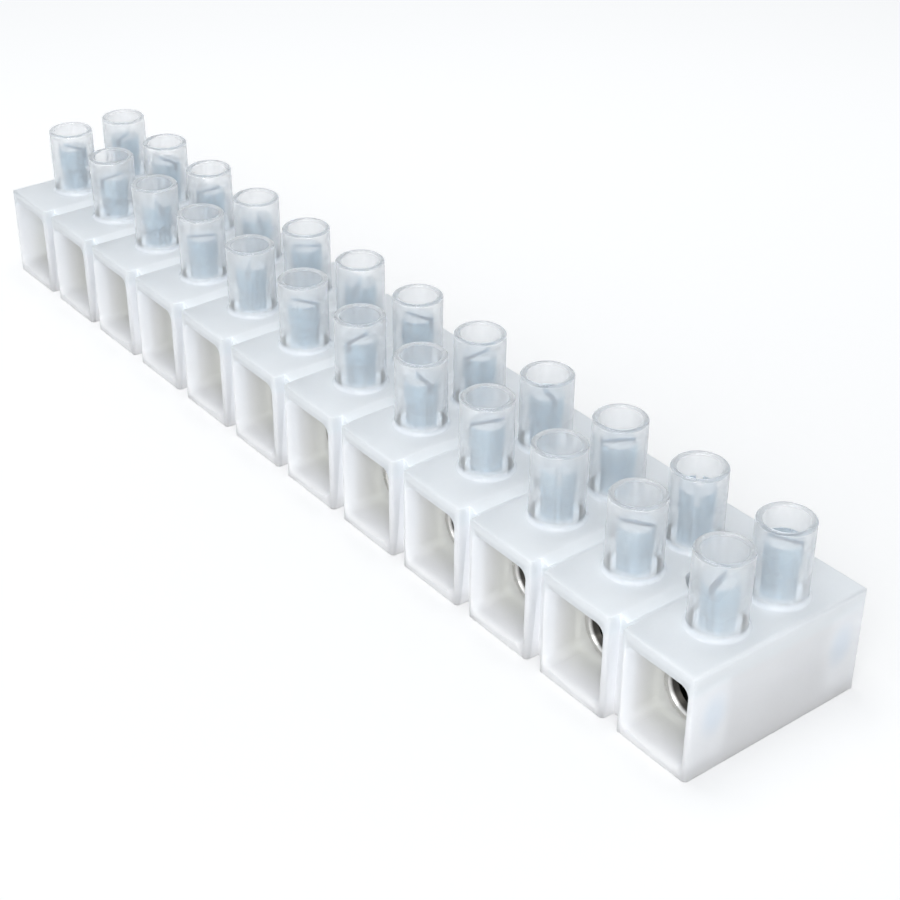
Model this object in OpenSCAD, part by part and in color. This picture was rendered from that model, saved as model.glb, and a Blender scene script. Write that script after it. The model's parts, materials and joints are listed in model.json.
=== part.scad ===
// Barrier terminal strip: a row of screw terminals in one moulded housing.
//
// X runs along the row, Y from the front wire entries to the back ones, Z up.
// The origin is on the table, under the middle of the strip.

/* [Row] */
// Number of poles in the strip
poles = 12; // [2:1:12]
// Distance from one pole to the next
pitch = 8; // [7.6:0.1:10]
// Width of the slots that part one pole from the next
slot_w = 1.3; // [0.8:0.1:1.5]
// Depth of those slots in the front and back faces
slot_d = 1.1; // [0.4:0.1:3]
// Width of the groove across the top, where the strip is cut to length
groove_w = 1.5; // [0.6:0.1:2]
// Depth of that groove
groove_d = 0.45; // [0.1:0.05:0.8]

/* [Body] */
// Depth of the strip, from its front face to its back face
body_d = 16.3; // [15:0.1:20]
// Height of the pole blocks
body_h = 8.5; // [8.1:0.1:12]
// Rounding of the outer edges
edge_r = 0.35; // [0.1:0.05:0.5]
// Diameter of the fixing holes through the webs
fixing_d = 2.6; // [2:0.1:2.8]

/* [Wire entries] */
// Thickness of the side walls of an entry
entry_wall = 0.38; // [0.3:0.02:0.6]
// Thickness of the floor under an entry
entry_floor = 0.8; // [0.5:0.1:1]
// Thickness of the roof over an entry
entry_roof = 0.95; // [0.6:0.05:1.2]
// Depth of an entry, from the face to the terminal insert
entry_d = 3.3; // [2.6:0.1:3.6]
// Corner radius of an entry
entry_r = 0.8; // [0.4:0.1:1.4]

/* [Screw towers] */
// Outer diameter of a tower
tower_d = 4.1; // [3.9:0.1:4.6]
// Inner diameter of a tower
tower_bore = 3.2; // [3.1:0.05:3.5]
// Height of the towers above the pole blocks
tower_h = 6; // [4.5:0.1:9]
// Distance between the two rows of towers
row_gap = 5.7; // [5.2:0.1:6.2]
// Radius of the fillet at the foot of a tower
foot_r = 0.3; // [0.1:0.05:0.4]
// Bevel on the rim of a tower
rim_bevel = 0.12; // [0.05:0.01:0.18]
// Height of the ledge that the wide bore ends on
ledge_z = 7.2; // [6.6:0.1:7.4]

/* [Terminal inserts] */
// Outer diameter of an insert
insert_d = 4.7; // [4.4:0.1:4.9]
// Diameter of the wire bore through an insert
wire_bore = 3; // [2.6:0.1:3.2]
// Height of the axis of the wire bore
insert_z = 3.7; // [3.4:0.1:4]
// Countersink at each mouth of the wire bore
mouth_bevel = 0.5; // [0.2:0.05:0.6]

/* [Clamping screws] */
// Diameter of a screw head
head_d = 2.6; // [2.45:0.05:3.05]
// Height of a screw head
head_h = 1.9; // [1.2:0.1:2.4]
// Depth of a screw head's top below the rim of its tower
head_sink = 2; // [1.2:0.1:2.4]
// Width of the driver slot
driver_w = 0.5; // [0.3:0.05:0.8]
// Depth of the driver slot
driver_depth = 0.9; // [0.4:0.1:1.1]
// Diameter of a screw's shank
shank_d = 2.4; // [2.1:0.1:2.4]
// Height of an average screw's tip above the wire bore
tip_gap = 0.4; // [0.4:0.05:0.5]
// Bevel at the tip and on the head
screw_bevel = 0.2; // [0.05:0.05:0.3]
// Furthest that a screw stands above or below the average one
screw_spread = 0.35; // [0:0.05:0.35]

/* [Fits] */
// Play between an insert and its seat, all round
seat_play = 0.03; // [0.01:0.01:0.05]
// Play between a shank and its tapped hole, all round
thread_play = 0.05; // [0.02:0.01:0.08]
// Play between a shank and the housing, all round
shank_play = 0.12; // [0.05:0.01:0.15]

/* [Hidden] */
$fn = 64;
cut = 1;
pole_w = pitch - slot_w;
strip_l = (poles - 1) * pitch + pole_w;
entry_w = pole_w - 2 * entry_wall;
entry_h = body_h - entry_floor - entry_roof;
insert_l = body_d - 2 * entry_d;
seat_r = insert_d / 2 + seat_play;
tapped_r = shank_d / 2 + thread_play;
shank_hole_r = shank_d / 2 + shank_play;
rim_z = body_h + tower_h;
head_z = rim_z - head_sink;
tip_z = insert_z + wire_bore / 2 + tip_gap;

function two_digits(n) = n < 10 ? str("0", n) : str(n);
function pole_x(p) = (p - (poles + 1) / 2) * pitch;

// Each screw was turned by hand, so its height and its slot's angle are its own.
// 1 is a screw turned furthest out, and -1 one turned furthest in.
front_turns = [0.6, -0.2, 0.1, -0.6, 0.3, -0.3, 0, -0.3, -0.4, 0.4, -1, -1];
back_turns = [0, 0.3, -0.4, 0.1, 0.6, -0.2, 0.2, 0.5, 1, 0.3, 1, 1];
function screw_lift(p, side) =
    screw_spread * (side < 0 ? front_turns : back_turns)[p - 1];
function driver_angle(p, side) = p * 73 + side * 49;

// Rectangle with round corners, in the first quadrant
module soft_rect(w, h, r) {
    translate([r, 0]) square([w - 2 * r, h]);
    translate([0, r]) square([w, h - 2 * r]);
    for (x = [r, w - r], y = [r, h - r]) translate([x, y]) circle(r);
}

// Turns an outline drawn in X and Z into a bar along Y, from y to y + d.
module along_y(y, d) {
    translate([0, y + d, 0]) rotate([90, 0, 0]) linear_extrude(d) children();
}

// The strip as one bar, with round outer edges and a flat base
module bar() {
    deep = edge_r + cut;
    intersection() {
        translate([-strip_l / 2, -body_d / 2, 0])
            linear_extrude(body_h) soft_rect(strip_l, body_d, edge_r);
        along_y(-body_d / 2 - cut, body_d + 2 * cut)
            translate([-strip_l / 2, -deep]) soft_rect(strip_l, body_h + deep, edge_r);
        translate([-strip_l / 2 - cut, 0, 0]) rotate([90, 0, 90])
            linear_extrude(strip_l + 2 * cut)
                translate([-body_d / 2, -deep]) soft_rect(body_d, body_h + deep, edge_r);
    }
}

// Outline that takes a sharp corner back to edge_r on both lips of a slot.
// The lips lie on the line y = 0, and the slot is below it.
module lip_cut() {
    difference() {
        translate([-slot_w / 2 - edge_r, -edge_r]) square([slot_w + 2 * edge_r, edge_r + cut]);
        for (side = [-1, 1])
            translate([side * (slot_w / 2 + edge_r), -edge_r]) circle(edge_r);
    }
}

// Cutter for one slot in the front face, open at the top and the bottom
module slot_cut() {
    translate([0, -body_d / 2, -cut]) linear_extrude(body_h + 2 * cut) {
        translate([-slot_w / 2, -cut]) square([slot_w, slot_d + cut]);
        mirror([0, 1]) lip_cut();
    }
}

// Cutter for the shallow V across the top between two poles
module groove_cut() {
    flare = groove_w / 2 * (1 + cut / groove_d);
    along_y(-body_d / 2 - cut, body_d + 2 * cut) polygon([
        [0, body_h - groove_d], [flare, body_h + cut], [-flare, body_h + cut]
    ]);
}

// Wire entry of the front side, a deep pocket with round corners
module entry_cut() {
    along_y(-body_d / 2 - cut, entry_d + cut)
        translate([-entry_w / 2, entry_floor]) soft_rect(entry_w, entry_h, entry_r);
}

// Wall of one screw tower, with its foot's fillet
module tower_wall() {
    r = tower_d / 2;
    rotate_extrude() {
        polygon([
            [0, body_h - cut], [r, body_h - cut], [r, rim_z - rim_bevel],
            [r - rim_bevel, rim_z], [0, rim_z]
        ]);
        difference() {
            translate([r - foot_r, body_h - foot_r]) square([2 * foot_r, 2 * foot_r]);
            translate([r + foot_r, body_h + foot_r]) circle(foot_r);
        }
    }
}

// Stepped bore of one tower: the head runs in the wide part, the shank in the narrow one.
module tower_hole() {
    r = tower_bore / 2;
    rotate_extrude() polygon([
        [0, insert_z], [shank_hole_r, insert_z], [shank_hole_r, ledge_z], [r, ledge_z],
        [r, rim_z - rim_bevel], [r + rim_bevel + cut, rim_z + cut], [0, rim_z + cut]
    ]);
}

// The bar parted into pole blocks, with a fixing hole between each two
module pole_blocks() {
    difference() {
        bar();
        for (p = [1 : poles - 1]) translate([pole_x(p) + pitch / 2, 0, 0]) {
            slot_cut();
            mirror([0, 1, 0]) slot_cut();
            groove_cut();
            translate([0, 0, -cut]) cylinder(d = fixing_d, h = body_h + 2 * cut);
        }
    }
}

module housing() {
    color("ghostwhite") difference() {
        union() {
            pole_blocks();
            for (p = [1 : poles], side = [-1, 1])
                translate([pole_x(p), side * row_gap / 2, 0]) tower_wall();
        }
        for (p = [1 : poles]) translate([pole_x(p), 0, 0]) {
            entry_cut();
            mirror([0, 1, 0]) entry_cut();
            translate([0, 0, insert_z]) rotate([90, 0, 0])
                cylinder(r = seat_r, h = insert_l + 2 * cut, center = true);
            for (side = [-1, 1]) translate([0, side * row_gap / 2, 0]) tower_hole();
        }
    }
}

// Terminal insert of pole p: a tube along Y with a hole for each screw
module insert(p) {
    color("silver") translate([pole_x(p), 0, 0]) difference() {
        translate([0, 0, insert_z]) rotate([90, 0, 0]) difference() {
            cylinder(d = insert_d, h = insert_l, center = true);
            cylinder(d = wire_bore, h = insert_l + cut, center = true);
            for (end = [0, 1]) mirror([0, 0, end])
                translate([0, 0, insert_l / 2 - mouth_bevel])
                    cylinder(r1 = wire_bore / 2, r2 = wire_bore / 2 + mouth_bevel + cut,
                             h = mouth_bevel + cut);
        }
        for (side = [-1, 1]) translate([0, side * row_gap / 2, insert_z])
            cylinder(r = tapped_r, h = insert_d);
    }
}

// Clamping screw of pole p: side is -1 in the front row and 1 in the back row.
module screw(p, side) {
    head_r = head_d / 2;
    shank_r = shank_d / 2;
    lift = screw_lift(p, side);
    color("lightsteelblue")
        translate([pole_x(p), side * row_gap / 2, lift]) difference() {
            rotate_extrude() polygon([
                [0, tip_z], [shank_r - screw_bevel, tip_z], [shank_r, tip_z + screw_bevel],
                [shank_r, head_z - head_h], [head_r, head_z - head_h],
                [head_r, head_z - screw_bevel], [head_r - screw_bevel, head_z], [0, head_z]
            ]);
            translate([0, 0, head_z - driver_depth]) rotate([0, 0, driver_angle(p, side)])
                translate([-head_d, -driver_w / 2, 0]) cube([2 * head_d, driver_w, head_h]);
        }
}

housing();
for (p = [1 : poles]) {
    insert(p);
    screw(p, -1);
    screw(p, 1);
}
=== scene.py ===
"""Barrier terminal strip: finishes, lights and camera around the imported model.

The housing is one milky moulding with two rows of screw towers. Nickel inserts
sit in its poles, and a slotted clamping screw hangs in each tower.
"""

import json
import math

import bmesh
import bpy
from mathutils import Matrix, Vector

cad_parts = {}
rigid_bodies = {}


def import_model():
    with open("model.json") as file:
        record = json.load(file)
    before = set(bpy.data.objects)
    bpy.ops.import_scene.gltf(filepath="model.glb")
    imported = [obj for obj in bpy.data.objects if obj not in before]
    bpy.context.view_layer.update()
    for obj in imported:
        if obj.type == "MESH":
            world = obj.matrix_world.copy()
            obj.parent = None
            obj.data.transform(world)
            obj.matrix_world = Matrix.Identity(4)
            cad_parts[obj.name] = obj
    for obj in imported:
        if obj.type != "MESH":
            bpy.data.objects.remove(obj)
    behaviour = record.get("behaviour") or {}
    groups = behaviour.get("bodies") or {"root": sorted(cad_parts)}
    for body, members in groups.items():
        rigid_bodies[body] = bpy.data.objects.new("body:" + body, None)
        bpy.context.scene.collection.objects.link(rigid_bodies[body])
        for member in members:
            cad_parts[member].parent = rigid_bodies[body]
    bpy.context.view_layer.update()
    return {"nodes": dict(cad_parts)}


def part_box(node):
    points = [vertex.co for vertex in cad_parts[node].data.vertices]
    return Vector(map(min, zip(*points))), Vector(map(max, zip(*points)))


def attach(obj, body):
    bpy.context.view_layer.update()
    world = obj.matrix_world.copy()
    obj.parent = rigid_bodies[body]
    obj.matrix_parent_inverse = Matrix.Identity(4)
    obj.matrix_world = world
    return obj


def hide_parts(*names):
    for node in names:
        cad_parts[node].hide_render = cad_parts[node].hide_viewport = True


for leftover in list(bpy.data.objects):
    bpy.data.objects.remove(leftover)

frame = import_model()

MM = 0.001
PITCH = 8 * MM
POLES = 12
BODY_TOP = 8.5 * MM
ROW = 2.85 * MM
BORE_AXIS = 3.7 * MM
TOWER_BORE_REACH = 1.63 * MM
RIM_FROM = 14.3 * MM
SHANK_RADIUS = 1.2 * MM
HEAD_HEIGHT = 1.9 * MM
DRIVER_SLOT_WIDTH = 0.5 * MM
DRIVER_SLOT_DEPTH = 0.9 * MM
THREAD_PITCH = 0.45 * MM
THREAD_DEPTH = 0.2 * MM
SHARP_ANGLE = math.radians(32)
PLASTIC_IOR = 1.45


# ---------------------------------------------------------------- node helpers

class Graph:
    """A material or a node group under construction."""

    def __init__(self, tree):
        self.tree = tree

    def add(self, kind, values=(), **settings):
        """Adds a node. values are (socket, value or output) pairs."""
        node = self.tree.nodes.new(kind)
        for name, value in settings.items():
            setattr(node, name, value)
        for socket, value in values:
            self.feed(node.inputs[socket], value)
        return node

    def feed(self, socket, value):
        if isinstance(value, bpy.types.NodeSocket):
            self.tree.links.new(value, socket)
        else:
            socket.default_value = value

    def math(self, operation, *values):
        node = self.add("ShaderNodeMath", operation=operation)
        for socket, value in zip(node.inputs, values):
            self.feed(socket, value)
        return node.outputs[0]

    def step(self, value, low, high, out_low=0.0, out_high=1.0):
        """Eases from out_low to out_high as value goes from low to high."""
        node = self.add("ShaderNodeMapRange", interpolation_type="SMOOTHSTEP")
        for socket, v in zip(node.inputs, (value, low, high, out_low, out_high)):
            self.feed(socket, v)
        return node.outputs[0]

    def mix(self, factor, a, b):
        """Colour between a and b."""
        node = self.add("ShaderNodeMix", data_type="RGBA")
        self.feed(node.inputs["Factor"], factor)
        self.feed(node.inputs[6], a)
        self.feed(node.inputs[7], b)
        return node.outputs[2]

    def noise(self, vector, scale, detail=2.0):
        node = self.add("ShaderNodeTexNoise", [
            ("Vector", vector), ("Scale", scale), ("Detail", detail), ("Roughness", 0.5)])
        return node.outputs["Fac"]

    def length(self, a, b):
        """Length of the flat vector (a, b)."""
        return self.math("SQRT", self.math("ADD", self.math("POWER", a, 2.0),
                                           self.math("POWER", b, 2.0)))

    def seen(self):
        """1 where the camera, a reflection or a clear view looks, and 0 for plain light."""
        path = self.add("ShaderNodeLightPath").outputs
        shown = self.math("MAXIMUM", path["Is Camera Ray"], path["Is Glossy Ray"])
        return self.math("MAXIMUM", shown, path["Is Transmission Ray"])

    def place(self):
        """Object coordinates, whole and as separate X, Y and Z."""
        where = self.add("ShaderNodeTexCoord").outputs["Object"]
        split = self.add("ShaderNodeSeparateXYZ", [(0, where)])
        return where, split.outputs[0], split.outputs[1], split.outputs[2]


def new_material(name):
    material = bpy.data.materials.new(name)
    material.use_nodes = True
    graph = Graph(material.node_tree)
    shader = material.node_tree.nodes["Principled BSDF"]
    return material, graph, shader


def new_group(name, inputs, outputs):
    """A shader node group with named sockets: (name, kind, default) and (name, kind)."""
    tree = bpy.data.node_groups.new(name, "ShaderNodeTree")
    for label, kind, default in inputs:
        socket = tree.interface.new_socket(label, in_out="INPUT", socket_type=kind)
        socket.default_value = default
    for label, kind in outputs:
        tree.interface.new_socket(label, in_out="OUTPUT", socket_type=kind)
    graph = Graph(tree)
    return graph, graph.add("NodeGroupInput"), graph.add("NodeGroupOutput")


# --------------------------------------------------------------- shared effects

def make_grain():
    """Uneven tone and fine surface grain, for mouldings and plating alike."""
    graph, given, gives = new_group(
        "grain",
        [("Vector", "NodeSocketVector", (0, 0, 0)), ("Cloud Scale", "NodeSocketFloat", 200.0),
         ("Grain Scale", "NodeSocketFloat", 3000.0), ("Cloud", "NodeSocketFloat", 0.1),
         ("Grain", "NodeSocketFloat", 0.1)],
        [("Tone", "NodeSocketFloat"), ("Height", "NodeSocketFloat")])
    where = given.outputs["Vector"]
    cloud = graph.noise(where, given.outputs["Cloud Scale"], 3.0)
    grain = graph.noise(where, given.outputs["Grain Scale"], 2.0)
    tone = graph.math("MULTIPLY_ADD", graph.math("SUBTRACT", cloud, 0.5),
                      given.outputs["Cloud"], 1.0)
    grain_tone = graph.math("MULTIPLY", graph.math("SUBTRACT", grain, 0.5),
                            given.outputs["Grain"])
    graph.feed(gives.inputs["Tone"], graph.math("ADD", tone, grain_tone))
    graph.feed(gives.inputs["Height"], graph.math("MULTIPLY_ADD", cloud, 0.6, grain))
    return graph.tree


GRAIN = make_grain()


def grained(graph, where, cloud_scale, grain_scale, cloud, grain):
    """Places the grain group and returns its tone and its height."""
    node = graph.add("ShaderNodeGroup", node_tree=GRAIN)
    for label, value in (("Vector", where), ("Cloud Scale", cloud_scale),
                         ("Grain Scale", grain_scale), ("Cloud", cloud), ("Grain", grain)):
        graph.feed(node.inputs[label], value)
    return node.outputs["Tone"], node.outputs["Height"]


def toned(graph, colour, tone):
    """colour, lightened or darkened by tone, which is about 1."""
    node = graph.add("ShaderNodeVectorMath", operation="SCALE")
    graph.feed(node.inputs[0], colour)
    graph.feed(node.inputs["Scale"], tone)
    return node.outputs[0]


def bumped(graph, height, strength, distance):
    node = graph.add("ShaderNodeBump", [
        ("Height", height), ("Strength", strength), ("Distance", distance)])
    return node.outputs[0]


# --------------------------------------------------------------------- finishes

def within_pole(graph, x):
    """Distance of X from the middle of its own pole, left negative and right positive."""
    return graph.math("SUBTRACT", graph.math("WRAP", x, PITCH, 0.0), PITCH / 2)


def waxy(shader, depth):
    """Lets light soak in by about depth."""
    shader.subsurface_method = "BURLEY"
    shader.inputs["Subsurface Weight"].default_value = 1.0
    shader.inputs["Subsurface Radius"].default_value = (1.0, 1.05, 1.1)
    shader.inputs["Subsurface Scale"].default_value = depth


def block_plastic():
    """Natural translucent plastic where it is thick: dense, waxy and full of light."""
    material, graph, shader = new_material("milky_block_plastic")
    where, x, y, z = graph.place()
    tone, height = grained(graph, where, 260.0, 5200.0, 0.05, 0.03)
    across = graph.math("ABSOLUTE", within_pole(graph, x))
    along = graph.math("ABSOLUTE", y)
    # Painted light: the top face and the top 1.5 mm of the walls take a lighter, bluer tone, for
    # light glowing through the thick roof.
    roof_with_painted_glow = graph.step(z, 6.6 * MM, 7.4 * MM)
    below_roof = graph.math("SUBTRACT", 1.0, roof_with_painted_glow)
    # Painted shade: the entry pockets below the roof are darker and creamier, where shade falls
    # inside them.
    painted_pocket_shade = graph.math("MULTIPLY", graph.step(along, 7.6 * MM, 4.9 * MM), below_roof)
    painted_pocket_shade = graph.math("MULTIPLY", painted_pocket_shade, graph.step(across, 3.2 * MM, 3.0 * MM))
    # Painted light: the walls are lighter towards the floor, standing in for light bounced up from
    # the floor.
    wall_with_painted_bounce = graph.mix(graph.step(z, 0.0, 6.5 * MM), (0.90, 0.90, 0.91, 1), (0.83, 0.84, 0.86, 1))
    colour = graph.mix(roof_with_painted_glow, wall_with_painted_bounce, (0.83, 0.86, 0.885, 1))
    colour = graph.mix(painted_pocket_shade, colour, (0.74, 0.74, 0.705, 1))
    # Painted shade: a faint blue-grey patch on the end walls over the entry pocket, where the
    # pocket's shade and the insert's end would show through the thin wall.
    end_wall = graph.step(graph.math("ABSOLUTE", x), 46.9 * MM, 47.2 * MM)
    off_end = graph.math("MULTIPLY", graph.math("SUBTRACT", along, 6.0 * MM), 1.5)
    off_axis = graph.math("SUBTRACT", z, 4.7 * MM)
    away = graph.length(off_end, off_axis)
    painted_end_wall_shade = graph.math("MULTIPLY", graph.step(away, 2.4 * MM, 0.4 * MM), end_wall)
    colour = graph.mix(painted_end_wall_shade, colour, (0.74, 0.79, 0.85, 1))
    graph.feed(shader.inputs["Base Color"], toned(graph, colour, tone))
    graph.feed(shader.inputs["Roughness"],
               graph.step(graph.noise(where, 420.0), 0.3, 0.7, 0.34, 0.46))
    waxy(shader, 0.9 * MM)
    shader.inputs["IOR"].default_value = PLASTIC_IOR
    graph.feed(shader.inputs["Normal"], bumped(graph, height, 0.18, 0.02 * MM))
    return material


def tower_plastic(name, opacity, edge_opacity, painted_glow=0.0):
    """The same plastic in the thin towers, where it is half clear.

    The last argument sets the strength of a painted glow at the foot, which stands in for light
    soaked through the block.
    """
    material, graph, shader = new_material(name)
    where, x, y, z = graph.place()
    tone, height = grained(graph, where, 260.0, 5200.0, 0.04, 0.02)
    # Painted shade: the tower is darker and bluer towards its foot.
    colour = graph.mix(graph.step(z, 8.7 * MM, 9.4 * MM),
                       (0.84, 0.87, 0.90, 1), (0.94, 0.95, 0.96, 1))
    graph.feed(shader.inputs["Base Color"], toned(graph, colour, tone))
    edge_on = graph.add("ShaderNodeLayerWeight", [("Blend", 0.5)]).outputs["Facing"]
    skin = graph.step(edge_on, 0.30, 1.0, opacity, edge_opacity)
    foot = graph.step(z, 9.4 * MM, 8.6 * MM)
    graph.feed(shader.inputs["Alpha"], graph.math("MAXIMUM", skin, foot))
    graph.feed(shader.inputs["Roughness"],
               graph.step(graph.noise(where, 420.0), 0.3, 0.7, 0.20, 0.30))
    if painted_glow:
        # Painted light: the foot of the bore glows by emission, standing in for light soaked
        # through the block.
        glow = graph.mix(graph.step(z, 10.4 * MM, 8.6 * MM), (0, 0, 0, 1), (0.86, 0.92, 0.97, 1))
        graph.feed(shader.inputs["Emission Color"], glow)
        shader.inputs["Emission Strength"].default_value = painted_glow
    waxy(shader, 0.8 * MM)
    shader.inputs["IOR"].default_value = PLASTIC_IOR
    shader.inputs["Coat Weight"].default_value = 0.5
    shader.inputs["Coat Roughness"].default_value = 0.06
    graph.feed(shader.inputs["Normal"], bumped(graph, height, 0.12, 0.02 * MM))
    return material


def rim_plastic():
    """Clear skin on the rims, where the light runs down into the tower walls."""
    material, graph, shader = new_material("clear_rim_plastic")
    where, x, y, z = graph.place()
    tone, height = grained(graph, where, 260.0, 5200.0, 0.04, 0.02)
    graph.feed(shader.inputs["Base Color"], toned(graph, (0.96, 0.97, 0.98), tone))
    shader.inputs["Roughness"].default_value = 0.05
    shader.inputs["IOR"].default_value = PLASTIC_IOR
    shader.inputs["Transmission Weight"].default_value = 0.75
    graph.feed(shader.inputs["Normal"], bumped(graph, height, 0.05, 0.02 * MM))
    return material


def nickel():
    """Bright nickel plating, with painted shade darkening the bore, and fine turning marks."""
    material, graph, shader = new_material("nickel_plating")
    where, x, y, z = graph.place()
    tone, height = grained(graph, where, 700.0, 6000.0, 0.18, 0.10)
    across = within_pole(graph, x)
    above = graph.math("SUBTRACT", z, BORE_AXIS)
    radius = graph.length(across, above)
    # Painted shade: the bore is painted nearly black.
    painted_bore_shade = graph.step(radius, 1.95 * MM, 1.75 * MM)
    face = graph.mix(painted_bore_shade, (0.70, 0.69, 0.67, 1), (0.05, 0.047, 0.043, 1))
    graph.feed(shader.inputs["Base Color"], toned(graph, face, tone))
    turning = graph.math("SINE", graph.math("MULTIPLY", radius, 2 * math.pi / (0.07 * MM)))
    graph.feed(shader.inputs["Roughness"],
               graph.step(graph.noise(where, 900.0), 0.3, 0.7, 0.20, 0.34))
    marks = graph.math("MULTIPLY_ADD", turning, 0.35, height)
    graph.feed(shader.inputs["Normal"], bumped(graph, marks, 0.15, 0.006 * MM))
    shader.inputs["Metallic"].default_value = 1.0
    return material


def zinc():
    """Bright zinc plating with a faint blue passivation."""
    material, graph, shader = new_material("blue_zinc_plating")
    where, x, y, z = graph.place()
    tone, height = grained(graph, where, 900.0, 7000.0, 0.22, 0.12)
    film = graph.noise(where, 350.0, 1.0)
    colour = graph.mix(graph.step(film, 0.35, 0.65),
                       (0.30, 0.48, 0.61, 1), (0.42, 0.58, 0.69, 1))
    facing = graph.add("ShaderNodeSeparateXYZ",
                       [(0, graph.add("ShaderNodeNewGeometry").outputs["Normal"])])
    # Faces that point up are lighter and greyer.
    facing_up = graph.step(facing.outputs[2], 0.6, 0.95)
    colour = graph.mix(graph.math("MULTIPLY", facing_up, 0.8), colour, (0.56, 0.60, 0.64, 1))
    graph.feed(shader.inputs["Base Color"], toned(graph, colour, tone))
    graph.feed(shader.inputs["Roughness"],
               graph.step(graph.noise(where, 1200.0), 0.3, 0.7, 0.26, 0.42))
    graph.feed(shader.inputs["Normal"], bumped(graph, height, 0.2, 0.008 * MM))
    shader.inputs["Metallic"].default_value = 0.9
    return material


BLOCK = block_plastic()
TOWER = tower_plastic("milky_tower_plastic", 0.36, 0.80)
BORE = tower_plastic("milky_bore_plastic", 0.14, 0.30, 0.5)
RIM = rim_plastic()
NICKEL = nickel()
ZINC = zinc()


# ----------------------------------------------------------------------- pieces

def made(bm, name, materials):
    """Turns a bmesh into an object with its materials in order."""
    mesh = bpy.data.meshes.new(name)
    bm.to_mesh(mesh)
    bm.free()
    thing = bpy.data.objects.new(name, mesh)
    bpy.context.scene.collection.objects.link(thing)
    for material in materials:
        mesh.materials.append(material)
    return thing


def finished(bm, name, materials, body, replaced):
    """Makes a piece with smooth faces and crisp edges, and hangs it on its body."""
    piece = made(bm, name, materials)
    piece.data.shade_smooth()
    piece.data.set_sharp_from_angle(angle=SHARP_ANGLE)
    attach(piece, body)
    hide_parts(replaced)


def add_thread(bm, low, high, radius, steps=40):
    """A rolled thread from low to high, as one helix closed at both ends."""
    root = radius - THREAD_DEPTH
    turns = round((high - low) / THREAD_PITCH) - 1
    lead = (high - low) / (turns + 1)
    profile = [(root, 0.0), (radius, 0.40), (radius, 0.55), (root, 0.95), (root, 1.0)]
    points = [bm.verts.new((r, 0, low + part * lead)) for r, part in profile]
    edges = [bm.edges.new(pair) for pair in zip(points, points[1:])]
    bmesh.ops.spin(bm, geom=points + edges, cent=(0, 0, 0), axis=(0, 0, 1),
                   dvec=(0, 0, lead / steps), angle=2 * math.pi * turns,
                   steps=steps * turns, use_merge=False, use_duplicate=False)
    bmesh.ops.remove_doubles(bm, verts=bm.verts, dist=0.002 * MM)
    open_edges = [e for e in bm.edges if e.is_boundary]
    bmesh.ops.holes_fill(bm, edges=open_edges, sides=0)


def add_slotted_head(bm, low, high, radius, slot_width, slot_depth):
    """A cheese head with a driver slot along X and soft top edges."""
    floor = high - slot_depth
    disc = bmesh.ops.create_circle(bm, cap_ends=True, segments=64, radius=radius,
                                   matrix=Matrix.Translation((0, 0, low)))
    rim = disc["verts"]
    for side in (-1, 1):
        faces = list({f for v in rim if v.is_valid for f in v.link_faces})
        geometry = faces + list({e for f in faces for e in f.edges}) \
            + list({v for f in faces for v in f.verts})
        bmesh.ops.bisect_plane(bm, geom=geometry, dist=1e-7, plane_co=(0, side * slot_width / 2, 0),
                               plane_no=(0, 1, 0))
    faces = list({f for v in rim if v.is_valid for f in v.link_faces})
    middle = [f for f in bm.faces if f.calc_center_median().z < low + 1e-6
              and abs(f.calc_center_median().y) < slot_width / 4]
    faces = list(set(faces) | set(middle))
    risen = bmesh.ops.extrude_face_region(bm, geom=faces)["geom"]
    tops = [g for g in risen if isinstance(g, bmesh.types.BMFace)]
    bmesh.ops.translate(bm, vec=(0, 0, floor - low),
                        verts=[g for g in risen if isinstance(g, bmesh.types.BMVert)])
    cheeks = [f for f in tops if abs(f.calc_center_median().y) > slot_width / 2]
    risen = bmesh.ops.extrude_face_region(bm, geom=cheeks)["geom"]
    bmesh.ops.translate(bm, vec=(0, 0, high - floor),
                        verts=[g for g in risen if isinstance(g, bmesh.types.BMVert)])
    top_edges = [e for e in bm.edges if all(abs(v.co.z - high) < 1e-7 for v in e.verts)
                 and len(e.link_faces) == 2
                 and any(abs(f.normal.z) < 0.5 for f in e.link_faces)]
    bmesh.ops.bevel(bm, geom=top_edges, offset=0.1 * MM, offset_type="OFFSET", segments=3,
                    profile=0.5, affect="EDGES", material=-1, clamp_overlap=True)


def make_screw(row, side, pole):
    """Clamping screw of one tower, as a slotted head on a threaded shank."""
    node = "screw_%s_%02d" % (row, pole)
    low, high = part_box(node)
    head_radius = (high.x - low.x) / 2
    neck = high.z - HEAD_HEIGHT
    turn = math.radians(pole * 73 + side * 49)
    bm = bmesh.new()
    add_thread(bm, low.z, neck + 0.02 * MM, SHANK_RADIUS)
    add_slotted_head(bm, neck, high.z, head_radius, DRIVER_SLOT_WIDTH, DRIVER_SLOT_DEPTH)
    bmesh.ops.rotate(bm, verts=bm.verts, cent=(0, 0, 0), matrix=Matrix.Rotation(turn, 3, "Z"))
    bmesh.ops.translate(bm, verts=bm.verts, vec=((low.x + high.x) / 2, (low.y + high.y) / 2, 0))
    bmesh.ops.recalc_face_normals(bm, faces=bm.faces)
    finished(bm, "clamping_" + node, [ZINC], "%s_screw_%02d" % (row, pole), node)


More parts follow.
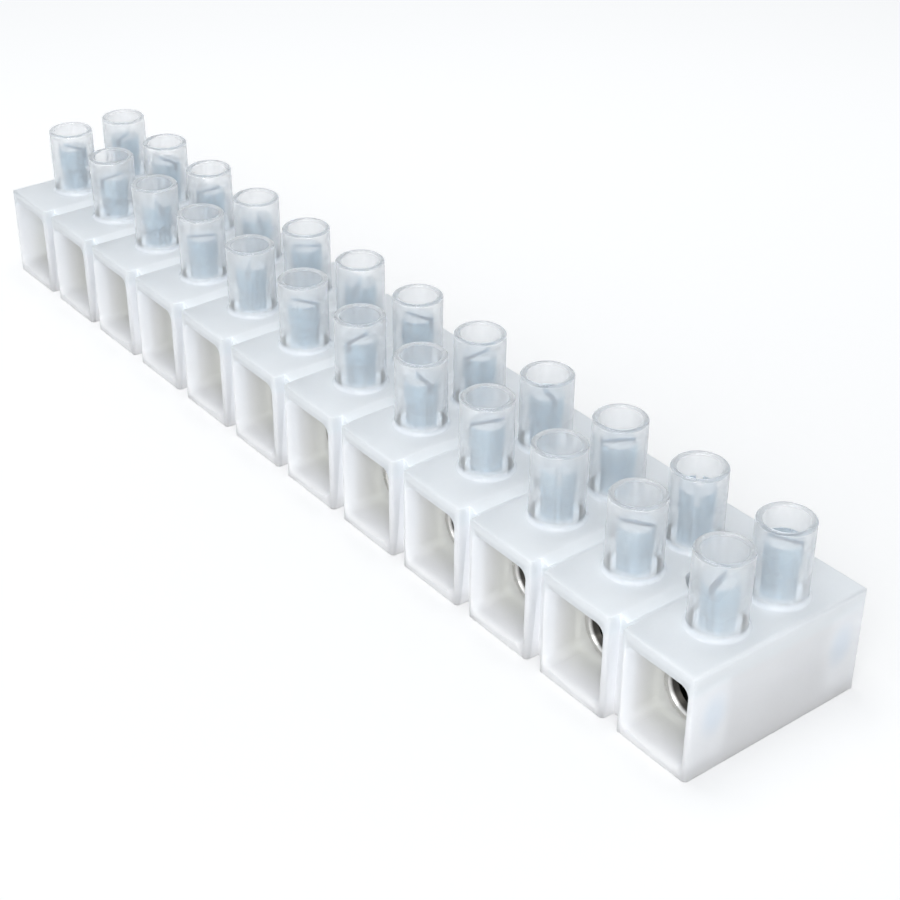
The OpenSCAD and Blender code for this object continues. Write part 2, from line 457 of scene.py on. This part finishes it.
def make_housing():
    """The housing's own form with its seams merged.

    The blocks, the towers' outsides, their bores and their rims each get their own finish.
    """
    bm = bmesh.new()
    bm.from_mesh(frame["nodes"]["housing"].data)
    bmesh.ops.remove_doubles(bm, verts=bm.verts, dist=0.0005 * MM)
    bmesh.ops.dissolve_degenerate(bm, edges=bm.edges, dist=0.0002 * MM)
    for face in bm.faces:
        middle = face.calc_center_median()
        high = max(v.co.z for v in face.verts)
        pole = round(middle.x / PITCH - 0.5) + 0.5
        reach = math.hypot(middle.x - pole * PITCH, abs(middle.y) - ROW)
        if high > BODY_TOP + 0.01 * MM:
            face.material_index = 2 if reach < TOWER_BORE_REACH else 1
            if face.normal.z > 0.3 and middle.z > RIM_FROM:
                face.material_index = 3
    finished(bm, "housing_moulding", [BLOCK, TOWER, BORE, RIM], "strip", "housing")


for row, side in (("front", -1), ("back", 1)):
    for pole in range(1, POLES + 1):
        make_screw(row, side, pole)

make_housing()
for pole in range(1, POLES + 1):
    insert = frame["nodes"]["insert_%02d" % pole].data
    insert.materials.clear()
    insert.materials.append(NICKEL)


# ------------------------------------------------------------- floor and lights

def make_floor():
    """A white floor that keeps the strip's soft shadow."""
    bm = bmesh.new()
    bmesh.ops.create_circle(bm, cap_ends=True, segments=96, radius=6.0,
                            matrix=Matrix.Translation((0, 0, -0.02 * MM)))
    material, graph, shader = new_material("white_floor")
    nodes = material.node_tree.nodes
    nodes.remove(shader)
    where = graph.place()[0]
    from_near_end = graph.add("ShaderNodeVectorMath", operation="DISTANCE")
    graph.feed(from_near_end.inputs[0], where)
    graph.feed(from_near_end.inputs[1], (0.06, -0.02, 0))
    lift = graph.step(from_near_end.outputs["Value"], 0.02, 0.16, 0.20, 0.33)
    matt = graph.add("ShaderNodeBsdfDiffuse", [("Color", (0.9, 0.9, 0.9, 1))])
    glow = graph.add("ShaderNodeEmission", [
        ("Color", (1, 1, 1, 1)), ("Strength", graph.math("MULTIPLY", graph.seen(), lift))])
    both = graph.add("ShaderNodeAddShader", [(0, matt.outputs[0]), (1, glow.outputs[0])])
    graph.feed(nodes["Material Output"].inputs["Surface"], both.outputs[0])
    made(bm, "floor", [material])


def make_world():
    """Plain soft light from all round, seen as white."""
    world = bpy.data.worlds.new("studio")
    bpy.context.scene.world = world
    world.use_nodes = True
    graph = Graph(world.node_tree)
    ground = world.node_tree.nodes["Background"]
    graph.feed(ground.inputs["Color"], (0.94, 0.97, 1.0, 1))
    strength = graph.add("ShaderNodeMix", [("Factor", graph.seen()), ("A", 0.50), ("B", 1.0)])
    graph.feed(ground.inputs["Strength"], strength.outputs[0])


def make_lamp(name, place, aim, width, power):
    """A square white softbox at place, turned to aim."""
    data = bpy.data.lights.new(name, "AREA")
    data.size = width
    data.energy = power
    lamp = bpy.data.objects.new(name, data)
    lamp.location = Vector(place)
    lamp.rotation_mode = "QUATERNION"
    lamp.rotation_quaternion = (Vector(aim) - Vector(place)).to_track_quat("-Z", "Y")
    bpy.context.scene.collection.objects.link(lamp)


make_floor()
make_world()
make_lamp("top_softbox", (-0.02, 0.0, 0.21), (0.02, 0, 0.01), 0.10, 0.09)
make_lamp("front_softbox", (0.24, -0.20, 0.20), (0.03, 0, 0.01), 0.25, 0.50)
make_lamp("near_spark", (0.215, -0.225, 0.20), (0.03, 0, 0.01), 0.008, 0.02)
make_lamp("left_spark", (0.116, -0.287, 0.20), (0.03, 0, 0.01), 0.008, 0.012)


# ----------------------------------------------------------------------- camera

def make_camera():
    data = bpy.data.cameras.new("camera")
    data.lens = 72
    data.sensor_width = 36
    data.clip_start = 1 * MM
    data.clip_end = 20
    camera = bpy.data.objects.new("camera", data)
    azimuth, elevation, roll = (math.radians(a) for a in (52.0, 31.84, 0.46))
    look = Vector((-math.sin(azimuth) * math.cos(elevation),
                   math.cos(azimuth) * math.cos(elevation), -math.sin(elevation)))
    right = look.cross(Vector((0, 0, 1))).normalized()
    up = right.cross(look)
    top = up * math.cos(roll) - right * math.sin(roll)
    side = look.cross(top)
    camera.rotation_mode = "QUATERNION"
    camera.rotation_quaternion = Matrix((side, top, -look)).transposed().to_quaternion()
    camera.location = Vector((107.05, -74.28, 79.82)) * MM
    bpy.context.scene.collection.objects.link(camera)
    bpy.context.scene.camera = camera


make_camera()
bpy.context.scene.view_settings.view_transform = "Standard"
